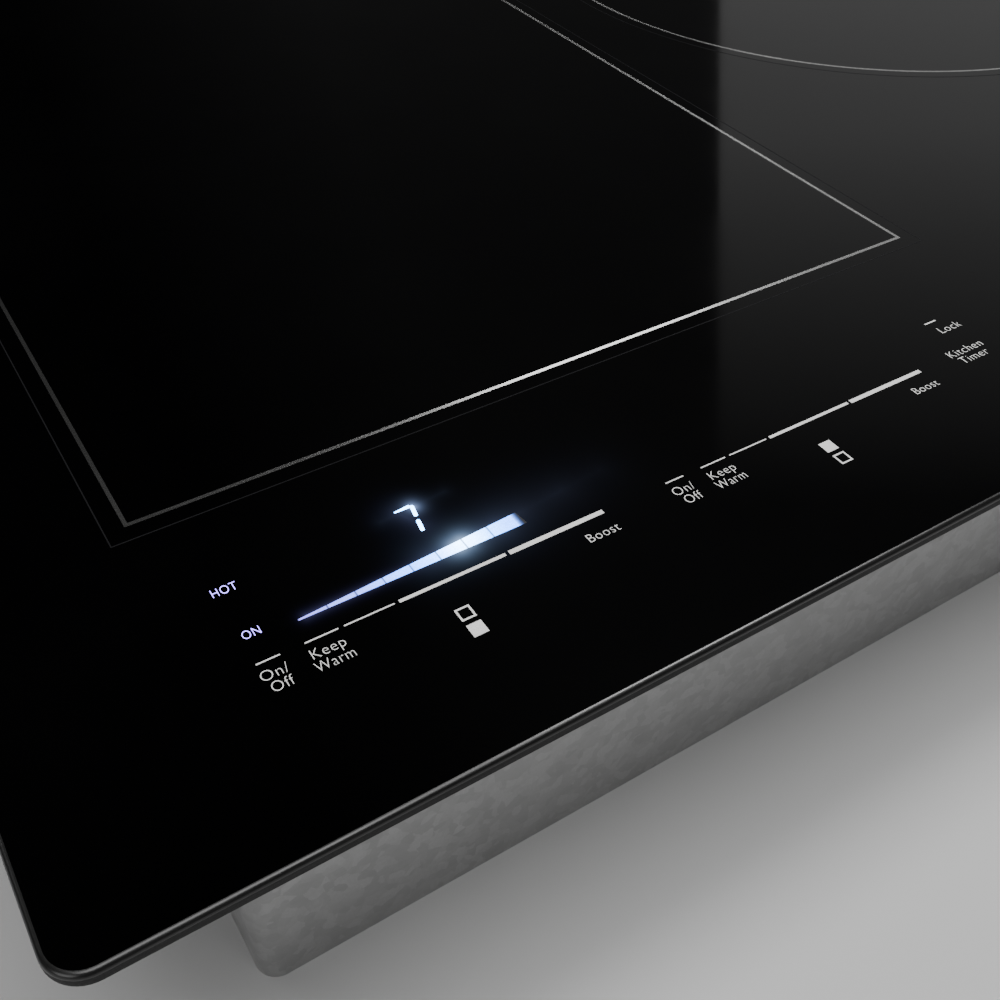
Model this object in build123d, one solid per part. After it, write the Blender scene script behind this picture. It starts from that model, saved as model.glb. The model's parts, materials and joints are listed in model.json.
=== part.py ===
from build123d import *
import os
from math import cos, radians, sin

# Drop-in induction cooktop. Millimetres, +Z up, +Y away from the cook.
# Origin: middle of the footprint, on the underside of the box.

# Driving dimensions
TOP_Z = 105.0              # pan surface
GLASS_W, GLASS_D, GLASS_T = 920.0, 540.0, 4.0
GLASS_CORNER, GLASS_EDGE = 8.0, 1.2
BOND_T, TAPE_T, TAPE_W = 1.0, 2.0, 10.0
SHEET = 1.2                # folded steel
FRAME_W, FRAME_D, FRAME_FLANGE, FRAME_DROP = 848.0, 476.0, 9.0, 16.0
BOX_GAP, BOX_TOP, BOX_CORNER = 0.4, 96.0, 6.0
LINE_INSET, ZONE_W, ZONE_L = 45.0, 241.4, 405.0
ZONE_FRONT = -GLASS_D / 2 + 95.0
SLIDER_Y = -GLASS_D / 2 + 43.85
SLIDER_L, SLIDER_PITCH, SLIDER_START = 84.5, 102.5, 8.6
COIL_R, CENTRE_COIL_R = 92.0, 132.0
LITZ_PITCH, LITZ_R = 4.0, 2.1
PLATE_T, FERRITE_T = 2.0, 4.0
BLOWER_X, BLOWER_Y, SCROLL_R = -320.0, -135.0, 58.0
BOARD_T = 1.6
CLAMP_X, CLAMP_TRAVEL, SCREW_R = -441.0, 20.0, 3.0
RUNNING = 0.05             # radial clearance of a shaft that turns in a bore
SCREW_HOLE_R, SCREW_SHANK_R, SCREW_HEAD_R, SCREW_HEAD_H = 2.0, 1.9, 3.6, 2.2
FRAME_SCREW_L, BRACKET_SCREW_L = 3.6, 6.0
BEAD_XS, BEAD_L, BEAD_W, BEAD_H = (-160, -120, 120, 160), 360.0, 14.0, 0.7
INTAKE_R, INTAKE_PITCH, INTAKE_SLOT = 38.0, 8.0, 4.4
OUTLET_COUNT, OUTLET_PITCH, OUTLET_SLOT, OUTLET_H = 39, 16.0, 5.0, 28.0
RAIL_W, RAIL_T, RAIL_DEPTH, RAIL_FOOT = 22.0, 1.5, 10.0, 8.0
SPRING_HALF, SPRING_T, SPRING_W = 14.0, 0.5, 8.0
LEAD_R, LEAD_HOLE_R = 1.5, 3.0
HUB_R, HUB_BORE = 18.0, 16.0
MICA_T, SENSOR_R = 0.8, 6.0
SCROLL_WALL, SCROLL_Z, SCROLL_TOP = 2.0, 1.5, 38.0
SHAFT_R, MOTOR_R, BLADES, WHEEL_R = 1.5, 17.0, 28, 50.0
FIN_COUNT, FIN_PITCH, FIN_T, FIN_W = 8, 4.8, 1.6, 43.0
TERMINALS, TERMINAL_H = 4, 20.0

# Levels
GLASS_Z = TOP_Z - GLASS_T
FLANGE_TOP = GLASS_Z - BOND_T
FLANGE_Z = FLANGE_TOP - SHEET
MICA_Z = 98.0
WINDING_Z = 95.3
FORMER_Z = 91.0
COIL_PLATE_TOP = 86.5
RAIL_TOP = 78.0
HEATSINK_TOP, DUCT_TOP = 50.0, 53.0
BOARD_Z = 12.0
BOARD_TOP = BOARD_Z + BOARD_T
CARRIER_Z, CARRIER_WALL = 86.0, 1.5
CONTROL_BOARD_TOP = 93.1
BOX_W = FRAME_W - 2 * (SHEET + BOX_GAP)
BOX_D = FRAME_D - 2 * (SHEET + BOX_GAP)
ZONE_LEFT = -GLASS_W / 2 + LINE_INSET
ZONE_X = ZONE_LEFT + ZONE_W / 2
ZONE_YS = {"front": ZONE_FRONT + ZONE_L / 4, "rear": ZONE_FRONT + 3 * ZONE_L / 4}
ZONE_Y = ZONE_FRONT + ZONE_L / 2
COIL_PLATE_D = ZONE_L - 8
RAIL_YS = (ZONE_Y - 170, ZONE_Y + 170)
SPRING_XS = (ZONE_X - 85, ZONE_X + 85, -110, 110, -ZONE_X - 85, -ZONE_X + 85)
BOARD_X, BOARD_Y = (-408.0, -188.0), (-58.0, 122.0)
HEATSINK_X = BLOWER_X + 8
FILTER_X, FILTER_Y = (-70.0, 70.0), (60.0, 170.0)
CONDUIT_X, CONDUIT_Z, CONDUIT_R, CONDUIT_THREAD_R = 300.0, 30.0, 9.0, 11.0
TERMINAL = (268.0, 332.0, 172.0, 200.0)
CARRIER_HALF = 412.0
CONTROL_Y = (SLIDER_Y - 8.0, SLIDER_Y + 30.0)
BRACKET_T, LUG_Z, FOOT_Z, FOOT_R = 2.0, 28.0, 54.0, 8.0
PILLAR_TOP = GLASS_Z - 0.2  # parts on the control board stop just under the glass
STANDING = (Align.CENTER, Align.CENTER, Align.MIN)


def slab(x, y, z):
    """Block that spans three (low, high) pairs."""
    size = [high - low for low, high in (x, y, z)]
    return Pos(x[0], y[0], z[0]) * Box(*size, align=(Align.MIN,) * 3)


def plate(width, depth, radius, z0, z1, at=(0, 0)):
    """Flat plate with rounded corners."""
    return Pos(at[0], at[1], z0) * extrude(RectangleRounded(width, depth, radius), z1 - z0)


def disc(radius, z0, z1, at=(0, 0)):
    """Upright cylinder."""
    return Pos(at[0], at[1], z0) * Cylinder(radius, z1 - z0, align=STANDING)


def sleeve(outer, inner, z0, z1, at=(0, 0)):
    """Upright tube."""
    return disc(outer, z0, z1, at) - disc(inner, z0, z1, at)


def rim(width, depth, band, radius, z0, z1):
    """Flat rectangular ring, band wide, inside the given outer size."""
    inner = plate(width - 2 * band, depth - 2 * band, max(radius - band, 0.5), z0, z1)
    return plate(width, depth, radius, z0, z1) - inner


def other_side(shape):
    """The mirror image of a left-hand piece."""
    return mirror(shape, about=Plane.YZ)


def both_sides(shapes):
    """Left-hand pieces and their mirror images."""
    return [*shapes, *(other_side(shape) for shape in shapes)]


def around(count, shape, start=0.0):
    """Copies of a shape turned about the Z axis."""
    return [Rot(0, 0, start + 360 * i / count) * shape for i in range(count)]


def lead(points, radius, bend):
    """Round cable along straight runs joined by tangent arcs."""
    path = FilletPolyline(*points, radius=bend) if len(points) > 2 else Line(*points)
    return sweep(Plane(origin=path @ 0, z_dir=path % 0) * Circle(radius), path=path)


# Glass and the frame under it

def glass_top():
    """Glass-ceramic pane with a ground, rounded edge."""
    blank = plate(GLASS_W, GLASS_D, GLASS_CORNER, GLASS_Z, TOP_Z)
    faces = blank.faces().sort_by(Axis.Z)
    return fillet(faces[0].edges() + faces[-1].edges(), GLASS_EDGE)


def glass_adhesive():
    """Silicone bead between the glass and the frame's flange."""
    width, depth = FRAME_W + 2 * FRAME_FLANGE, FRAME_D + 2 * FRAME_FLANGE
    return rim(width - 2, depth - 2, FRAME_FLANGE - 2, 6, FLANGE_TOP, GLASS_Z)


def perimeter_gasket():
    """Foam tape that rests on the worktop round the cut-out."""
    return rim(GLASS_W - 6, GLASS_D - 6, TAPE_W, 7, GLASS_Z - TAPE_T, GLASS_Z)


def side_screw_places():
    """(point, outward direction) of the screws that join frame and box."""
    z = FLANGE_Z - 8
    rows = [(x, side) for x in (-280, 0, 280) for side in (-1, 1)]
    places = [((x, side * FRAME_D / 2, z), (0, side, 0)) for x, side in rows]
    ends = [(y, side) for y in (-120, 120) for side in (-1, 1)]
    return places + [((side * FRAME_W / 2, y, z), (side, 0, 0)) for y, side in ends]


def screw(place, length):
    """Pan-head screw, its head outside the point and its shank going in."""
    point, outward = place
    seat = Plane(origin=point, z_dir=outward)
    head = seat * Cylinder(SCREW_HEAD_R, SCREW_HEAD_H, align=STANDING)
    return head + seat * Pos(0, 0, -length) * Cylinder(SCREW_SHANK_R, length, align=STANDING)


def screw_holes(places, depth=6.0):
    """Cutters for the clearance holes of screws."""
    return [Plane(origin=p, z_dir=n) * Cylinder(SCREW_HOLE_R, 2 * depth) for p, n in places]


def support_frame():
    """Folded steel angle that is bonded under the glass and carries the box."""
    width, depth = FRAME_W + 2 * FRAME_FLANGE, FRAME_D + 2 * FRAME_FLANGE
    flange = rim(width, depth, FRAME_FLANGE + SHEET, 7, FLANGE_Z, FLANGE_TOP)
    skirt = rim(FRAME_W, FRAME_D, SHEET, BOX_CORNER + 2, FLANGE_TOP - FRAME_DROP, FLANGE_TOP)
    return flange + skirt - screw_holes(side_screw_places())


# Sheet-metal box

def bracket_screw_places():
    """The two screws of each hold-down bracket, on both sides of the box."""
    x = BOX_W / 2 + BRACKET_T
    return [((side * x, y, 40), (side, 0, 0)) for side in (-1, 1) for y in (-9, 9)]


def intake_slots():
    """Slots in the floor below the left blower, shorter towards the rim."""
    slots = []
    for i in range(-4, 5):
        offset = INTAKE_PITCH * i
        length = 2 * (INTAKE_R**2 - offset**2) ** 0.5
        at = Pos(BLOWER_X + offset, BLOWER_Y, -1)
        slots.append(at * extrude(SlotOverall(length, INTAKE_SLOT, rotation=90), 4))
    return slots


def outlet_slots():
    """Two rows of upright slots in the rear wall."""
    y = (BOX_D / 2 - 4, BOX_D / 2 + 4)
    spots = [(-390 + OUTLET_PITCH * i, z) for i in range(OUTLET_COUNT) for z in (14, 50)]
    return [slab((x, x + OUTLET_SLOT), y, (z, z + OUTLET_H)) for x, z in spots]


def floor_beads(grow, z0, z1):
    """Pressed beads that stiffen the floor between the coils' feet."""
    bead = extrude(SlotOverall(BEAD_L, BEAD_W + 2 * grow, rotation=90), z1 - z0)
    return [Pos(x, 0, z0) * bead for x in BEAD_XS]


def burner_box():
    """Open tray with air slots, holding everything below the glass."""
    outer = plate(BOX_W, BOX_D, BOX_CORNER, 0, BOX_TOP)
    inner = plate(BOX_W - 2 * SHEET, BOX_D - 2 * SHEET, BOX_CORNER - SHEET, SHEET, BOX_TOP)
    holes = screw_holes(side_screw_places()) + screw_holes(bracket_screw_places())
    gland = Plane(origin=(CONDUIT_X, BOX_D / 2, CONDUIT_Z), z_dir=(0, 1, 0)) * Cylinder(11.2, 8)
    tray = outer - inner + floor_beads(0, SHEET - 0.1, SHEET + BEAD_H) - floor_beads(-SHEET, 0, BEAD_H)
    return tray - holes - both_sides(intake_slots()) - outlet_slots() - gland


def box_screws():
    """Screws of the frame and of the two hold-down brackets."""
    joints = [screw(place, FRAME_SCREW_L) for place in side_screw_places()]
    return joints + [screw(place, BRACKET_SCREW_L) for place in bracket_screw_places()]


def coil_rail(y):
    """Hat-section beam on three legs, under the springs of the coil plates."""
    half, wall = BOX_W / 2 - SHEET - 1, RAIL_T / 2
    width = (y - RAIL_W / 2, y + RAIL_W / 2)
    beam = slab((-half, half), width, (RAIL_TOP - RAIL_T, RAIL_TOP))
    for side in (-1, 1):
        edge = y + side * (RAIL_W / 2 - wall)
        beam += slab((-half, half), (edge - wall, edge + wall), (RAIL_TOP - RAIL_DEPTH, RAIL_TOP))
    for x in (-half + wall, 0, half - wall):
        foot = x - RAIL_FOOT if x > 0 else x
        beam += slab((x - wall, x + wall), width, (SHEET, RAIL_TOP))
        beam += slab((foot, foot + RAIL_FOOT), width, (SHEET, SHEET + RAIL_T))
    return beam


def plate_spring(x, y):
    """Arched leaf spring that lifts a coil plate towards the glass."""
    rise = COIL_PLATE_TOP - PLATE_T - RAIL_TOP
    radius = (SPRING_HALF**2 + rise**2) / (2 * rise)
    arch = Circle(radius) - Circle(radius - SPRING_T)
    arch &= Pos(0, radius) * Rectangle(2 * SPRING_HALF, 2 * rise)
    origin = (x, y + SPRING_W / 2, RAIL_TOP + rise - radius)
    seat = Plane(origin=origin, x_dir=(1, 0, 0), z_dir=(0, -1, 0))
    return extrude(seat * arch, SPRING_W)


# Coils

def coil_places():
    """Name, centre and radius of each induction coil."""
    places = {}
    for side, sign in (("left", 1), ("right", -1)):
        for end, y in ZONE_YS.items():
            places[f"{side}_{end}"] = (sign * ZONE_X, y, COIL_R)
    places["centre"] = (0.0, ZONE_Y, CENTRE_COIL_R)
    return places


def lead_spots(x, y, radius):
    """Plan positions where a coil's two leads drop through its former."""
    between = radians(180 / ferrite_count(radius))
    inward = -1 if x > 0 else 1
    reach, half_gap = radius - 7, 4.5
    out, across = (cos(between), sin(between)), (-sin(between), cos(between))
    return [
        (x + inward * (reach * out[0] + s * across[0]), y + reach * out[1] + s * across[1])
        for s in (-half_gap, half_gap)
    ]


def ferrite_count(radius):
    """Bars below a coil; a wider coil has more."""
    return 8 if radius < 100 else 12


def ferrite_start(radius):
    """Distance of the bars' inner ends from the coil's centre."""
    return 26 if radius < 100 else 40


def coil_former(radius):
    """Moulded carrier: a floor with a hub, a rim and slots beside the ferrites."""
    z0, z1 = COIL_PLATE_TOP, MICA_Z
    former = disc(radius, FORMER_Z, FORMER_Z + 2) + sleeve(radius, radius - 2, z0, z1)
    former += sleeve(HUB_R, HUB_BORE, z0, z1)
    former -= disc(HUB_BORE, FORMER_Z, FORMER_Z + 2)
    for y in (-8, 7):
        wall = slab((ferrite_start(radius), radius - 8), (y, y + 1), (z0, FORMER_Z))
        former += around(ferrite_count(radius), wall)
    return former - [disc(2.6, FORMER_Z, FORMER_Z + 2, spot) for spot in lead_spots(0, 0, radius)]


def coil_winding(radius):
    """Flat spiral of litz wire, as rings that touch, with a crest over each turn."""
    first, low, high = 21.5, WINDING_Z - LITZ_R, WINDING_Z + LITZ_R
    turns = int((radius - 5.0 - first) / LITZ_PITCH) + 1
    crests = [(first + LITZ_PITCH * i, high) for i in range(turns)]
    valleys = [(r + LITZ_PITCH / 2, high - 1.2) for r, _ in crests]
    top = [point for pair in zip(crests, valleys) for point in pair]
    outline = [(first - LITZ_R, low), (first - LITZ_R, high - 1.2), *top, (valleys[-1][0], low)]
    section = Plane.XZ * make_face(Polyline(*outline, close=True))
    return revolve(section, Axis.Z)


def ferrites(radius):
    """Radial ferrite bars below one coil."""
    bar = slab((ferrite_start(radius), radius - 10), (-6, 6), (FORMER_Z - FERRITE_T, FORMER_Z))
    return around(ferrite_count(radius), bar)


def mica_sheet(radius):
    """Insulating disc between winding and glass, with a hole for the sensor."""
    return sleeve(radius, 11, MICA_Z, MICA_Z + MICA_T)


def temperature_sensor():
    """Sensor head that is pressed against the glass."""
    return disc(SENSOR_R, GLASS_Z - 4, GLASS_Z) + disc(SENSOR_R - 2, GLASS_Z - 9, GLASS_Z - 4)


def sensor_boot():
    """Silicone spring sleeve below the sensor."""
    return sleeve(SENSOR_R + 0.5, SENSOR_R - 1.9, COIL_PLATE_TOP, GLASS_Z - 4)


def coil_plate(x, width, coils):
    """Aluminium plate that carries coils, with holes for their leads and sensors."""
    z0, z1 = COIL_PLATE_TOP - PLATE_T, COIL_PLATE_TOP
    made = plate(width, COIL_PLATE_D, 8, z0, z1, (x, ZONE_Y))
    for coil_x, coil_y, radius in coils:
        made -= disc(LEAD_HOLE_R, z0, z1, (coil_x, coil_y))
        made -= [disc(LEAD_HOLE_R, z0, z1, spot) for spot in lead_spots(coil_x, coil_y, radius)]
    return made


# Blowers

def scroll(grow, outlet_end):
    """Plan of the left blower's scroll: a round chamber with a straight outlet."""
    chamber = Circle(SCROLL_R + grow)
    left, right = 8 - grow, SCROLL_R + grow
    outlet = Pos((left + right) / 2, outlet_end / 2) * Rectangle(right - left, outlet_end)
    return chamber + outlet


def blower_housing():
    """Moulded scroll with an intake in its floor and an outlet to the rear."""
    outlet, inside = 74.0, SCROLL_Z + SCROLL_WALL
    outer = extrude(scroll(0, outlet), SCROLL_TOP - SCROLL_Z)
    inner = extrude(scroll(-SCROLL_WALL, outlet + 2), SCROLL_TOP - SCROLL_WALL - inside)
    shell = Pos(BLOWER_X, BLOWER_Y, SCROLL_Z) * outer - Pos(BLOWER_X, BLOWER_Y, inside) * inner
    return shell - disc(INTAKE_R, 0, inside + 1, (BLOWER_X, BLOWER_Y))


def blower_motor():
    """Motor under the scroll's roof, with its fixed shaft."""
    at = (BLOWER_X, BLOWER_Y)
    return disc(MOTOR_R, 22, SCROLL_TOP - SCROLL_WALL, at) + disc(SHAFT_R, 8, 22, at)


def impeller():
    """Cup with a ring of slanted blades that turns on the motor's shaft."""
    cup = MOTOR_R + 5
    blade = Pos(WHEEL_R - 4.5, 0, 6) * Rot(0, 0, 35) * Box(11, 1.2, 26, align=STANDING)
    wheel = sleeve(WHEEL_R, cup - 2, 31.5, 33) + sleeve(cup, cup - 2, 19, 33) + disc(cup, 17.5, 19.5)
    wheel += disc(4.5, 10, 18) + sleeve(WHEEL_R + 1, WHEEL_R - 1, 5, 8)
    wheel += [part & sleeve(WHEEL_R + 0.5, WHEEL_R - 10, 5, 32.5) for part in around(BLADES, blade)]
    wheel -= disc(SHAFT_R + RUNNING, 5, 25)
    return Pos(BLOWER_X, BLOWER_Y, 0) * wheel


# Power electronics

def heatsink():
    """Extruded heatsink: an upright base with fins along the air stream."""
    y = (BOARD_Y[0] + 6, BOARD_Y[1] - 6)
    made = slab((HEATSINK_X, HEATSINK_X + 6), y, (BOARD_TOP, HEATSINK_TOP))
    for i in range(FIN_COUNT):
        z = BOARD_TOP + 1.0 + FIN_PITCH * i
        made += slab((HEATSINK_X + 5, HEATSINK_X + 5 + FIN_W), y, (z, z + FIN_T))
    return made


def air_duct():
    """Cover that keeps the air stream between the fins."""
    y, wall, end = (BOARD_Y[0] + 2, BOARD_Y[1] - 2), 1.5, HEATSINK_X + 52
    roof = slab((HEATSINK_X - 1, end), y, (DUCT_TOP - wall, DUCT_TOP))
    return roof + slab((end - wall, end), y, (BOARD_TOP, DUCT_TOP))


def transistor(y):
    """Flat power transistor against the heatsink, on three legs."""
    x = HEATSINK_X
    made = slab((x - 5, x), (y - 8, y + 8), (22, 42))
    for leg in (-5.4, 0, 5.4):
        made += slab((x - 3.5, x - 2.5), (y + leg - 0.6, y + leg + 0.6), (BOARD_TOP, 23))
    return made


def film_capacitor(x, y, length=40.0, width=20.0, height=34.0):
    """Box film capacitor standing on a board."""
    box = slab((x, x + length), (y, y + width), (BOARD_TOP, BOARD_TOP + height))
    return fillet(box.edges().filter_by(Axis.Z), 2)


def choke(x, y):
    """Wound ring choke standing on a board."""
    return Pos(x, y, BOARD_TOP + 18) * Rot(90, 0, 0) * Torus(12, 6)


def board(x, y):
    """Printed circuit board with its corner holes."""
    made = slab(x, y, (BOARD_Z, BOARD_TOP))
    return made - [disc(1.8, BOARD_Z, BOARD_TOP, spot) for spot in board_corners(x, y)]


def board_corners(x, y):
    """Standoff positions of a board."""
    return [(x[i] + (5, -5)[i], y[j] + (5, -5)[j]) for i in (0, 1) for j in (0, 1)]


def standoff(spot):
    """Snap pillar that holds a board above the floor of the box."""
    return disc(3.5, SHEET, BOARD_Z, spot) + disc(1.7, BOARD_Z, BOARD_TOP + 2, spot)


# Mains inlet

def terminal_block():
    """Supply terminals: a stepped bar with a chamber for each wire."""
    x0, x1, y0, y1 = TERMINAL
    top = BOARD_TOP + TERMINAL_H
    made = slab((x0, x1), (y0, y1), (BOARD_TOP, top))
    for x, y in terminal_spots():
        made -= slab((x - 4, x + 4), (y1 - 12, y1), (BOARD_TOP + 5, top - 6))
        made -= disc(3.2, top - 6, top, (x, y))
    return made


def terminal_spots():
    """Plan positions of the terminals' screws."""
    x0, x1, _, y1 = TERMINAL
    width = (x1 - x0) / TERMINALS
    return [(x0 + width * (i + 0.5), y1 - 7) for i in range(TERMINALS)]


def terminal_screws():
    """Clamping screws of the four terminals."""
    top, screws = BOARD_TOP + TERMINAL_H - 1, []
    for x, y in terminal_spots():
        groove = slab((x - 3, x + 3), (y - 0.4, y + 0.4), (top - 1, top))
        screws.append(disc(3.0, top - 10, top, (x, y)) - groove)
    return screws


def terminal_cover():
    """Steel hood over the supply terminals, open towards the conduit."""
    x0, x1, y0, y1 = TERMINAL
    outer = slab((x0 - 9, x1 + 9), (y0 - 12, y1 + 4), (SHEET, 54))
    inner = slab((x0 - 8, x1 + 8), (y0 - 11, y1 + 4), (SHEET, 53))
    for i in range(3):
        outer -= Pos(x0 + 8 + 10 * i, y0 - 10, 40) * Rot(90, 0, 0) * disc(3.4, 0, 4)
    return outer - inner


def conduit_fitting():
    """Straight fitting in the rear wall that takes the supply conduit."""
    thread_l, hub_l = 12.0, 20.0
    axis = Plane(origin=(CONDUIT_X, BOX_D / 2, CONDUIT_Z), z_dir=(0, 1, 0))
    body = Cylinder(CONDUIT_R + 7, 5, align=STANDING) + Cylinder(CONDUIT_R + 4.5, hub_l, align=STANDING)
    body += Pos(0, 0, -thread_l) * Cylinder(CONDUIT_THREAD_R, thread_l, align=STANDING)
    bore = Pos(0, 0, -thread_l) * Cylinder(CONDUIT_R, thread_l + hub_l, align=STANDING)
    return axis * (body - bore)


def conduit_locknut():
    """Ring nut with six lugs inside the wall."""
    nut_r, nut_t = CONDUIT_THREAD_R + 4, 3.0
    lug = Pos(nut_r, 0, 0) * Box(5, 5, nut_t, align=STANDING)
    ring = Cylinder(nut_r, nut_t, align=STANDING) + around(6, lug)
    ring -= Cylinder(CONDUIT_THREAD_R + RUNNING, nut_t, align=STANDING)
    return Plane(origin=(CONDUIT_X, BOX_D / 2 - SHEET - nut_t, CONDUIT_Z), z_dir=(0, 1, 0)) * ring


# Touch controls under the front of the glass

def slider_origins():
    """Left ends of the five power sliders."""
    left = [ZONE_LEFT + SLIDER_START + SLIDER_PITCH * i for i in range(2)]
    centre = -SLIDER_L / 2
    right_zone = -ZONE_LEFT - ZONE_W
    return [*left, centre, *(right_zone + SLIDER_START + SLIDER_PITCH * i for i in range(2))]


def control_carrier():
    """Shallow moulded tray that presses the control board's parts to the glass."""
    half, y0, y1 = CARRIER_HALF - CARRIER_WALL, CONTROL_Y[0] + CARRIER_WALL, CONTROL_Y[1] - CARRIER_WALL
    outer = slab((-CARRIER_HALF, CARRIER_HALF), CONTROL_Y, (CARRIER_Z, GLASS_Z - 0.5))
    return outer - slab((-half, half), (y0, y1), (CARRIER_Z + CARRIER_WALL, GLASS_Z))


def control_board():
    """Long board that holds the displays, light bars and touch pads."""
    half, low = CARRIER_HALF - 2, CONTROL_BOARD_TOP - BOARD_T
    y0, y1 = CONTROL_Y[0] + 2, CONTROL_Y[1] - 2
    made = slab((-half, half), (y0, y1), (low, CONTROL_BOARD_TOP))
    for x in (6 - half, -135, 135, half - 6):
        made += [disc(3, CARRIER_Z + CARRIER_WALL, low, (x, y)) for y in (y0 + 5, y1 - 5)]
    return made


def light_bar(x):
    """Wedge-shaped light guide above a slider, low at the left."""
    x0, x1, y = x + 11.5, x + 80, SLIDER_Y + 5.6
    outline = Polyline((x0, y), (x1, y), (x1, y + 5.4), (x0, y + 1.6), close=True)
    return Pos(0, 0, CONTROL_BOARD_TOP) * extrude(make_face(outline), PILLAR_TOP - CONTROL_BOARD_TOP)


def display_module(x):
    """One-digit display."""
    x, y = x + 45.4, SLIDER_Y + 20.0
    case = slab((x - 5.5, x + 5.5), (y - 7, y + 7), (CONTROL_BOARD_TOP, PILLAR_TOP))
    return case - slab((x - 4.2, x + 4.2), (y - 5.6, y + 5.6), (PILLAR_TOP - 0.4, PILLAR_TOP))


def indicator_lamps(x):
    """Lamp blocks for residual heat and for a zone that is on."""
    z = (CONTROL_BOARD_TOP, PILLAR_TOP)
    heat = slab((x - 1.5, x + 6.2), (SLIDER_Y + 20.0, SLIDER_Y + 24.2), z)
    on = slab((x - 0.6, x + 5.4), (SLIDER_Y + 6.3, SLIDER_Y + 10.3), z)
    return [heat, on]


def touch_pads(x):
    """Conductive foam pillars from the board to the glass along a slider."""
    offsets = [2.6, 14.3, *(23.0 + 6.7 * i for i in range(10))]
    return [touch_pad(x + offset, SLIDER_Y) for offset in offsets]


def touch_pad(x, y):
    """One pillar of conductive foam."""
    return disc(2.4, CONTROL_BOARD_TOP, GLASS_Z, (x, y))


def key_pads():
    """Pillars of the lock and timer keys right of the second slider."""
    x = ZONE_LEFT + 215.0
    return [touch_pad(side * x, SLIDER_Y + offset) for side in (1, -1) for offset in (14.3, 2.0)]


def control_cable():
    """Ribbon cable from the control board down to the filter board."""
    front, rear = CONTROL_Y[1] + 0.2, FILTER_Y[0] + 4
    z_high, z_low = CARRIER_Z + 3, BOARD_TOP + 4
    points = [(front, z_high), (front + 14, z_high), (front + 14, z_low), (rear, z_low), (rear, BOARD_TOP)]
    path = FilletPolyline(*points, radius=[5, 5, 1.5])
    ribbon = trace(path, 1.0)
    seat = Plane(origin=(-60, 0, 0), x_dir=(0, 1, 0), z_dir=(1, 0, 0))
    return extrude(seat * ribbon, 18)


# Leads

def coil_leads():
    """Litz leads from the coils down to the power boards."""
    leads = []
    for name, (x, y, radius) in coil_places().items():
        for spot in lead_spots(x, y, radius):
            top = (*spot, WINDING_Z - LITZ_R)
            if name == "centre":
                x_board, z_run = 208, 62
                over = [(*spot, z_run), (x_board, spot[1], z_run), (x_board, spot[1], BOARD_TOP)]
                leads.append(lead([top, *over], LEAD_R, 12))
            else:
                leads.append(lead([top, (*spot, BOARD_TOP)], LEAD_R, 0))
    return leads


# Hold-down clamps

def clamp_bracket():
    """Bracket on the box's side with a threaded lug for the hold-down screw."""
    wall = -BOX_W / 2
    made = slab((wall - BRACKET_T, wall), (-17, 17), (6, 50))
    made += slab((CLAMP_X - 11, wall), (-12, 12), (LUG_Z, LUG_Z + 3))
    made += disc(6, LUG_Z, LUG_Z + 6, (CLAMP_X, 0))
    made -= disc(SCREW_R + RUNNING, LUG_Z - 1, LUG_Z + 7, (CLAMP_X, 0))
    flipped = [place for place in bracket_screw_places() if place[1][0] < 0]
    return made - screw_holes(flipped)


def clamp_foot():
    """Swivelling pad on the tip of the hold-down screw."""
    top = FOOT_Z + 8
    pad = disc(FOOT_R, FOOT_Z + 3, top, (CLAMP_X, 0)) + disc(FOOT_R - 2.5, FOOT_Z, top, (CLAMP_X, 0))
    pad = fillet(pad.edges().group_by(Axis.Z)[-1], 1)
    return pad - disc(SCREW_R + RUNNING, FOOT_Z, FOOT_Z + 5, (CLAMP_X, 0))


def clamp_screw():
    """Hold-down screw with a hexagonal head below the lug."""
    head = Pos(CLAMP_X, 0, 1) * extrude(RegularPolygon(5.5, 6, major_radius=False), 5)
    return head + disc(SCREW_R, 6, FOOT_Z + 4.6, (CLAMP_X, 0))


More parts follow.
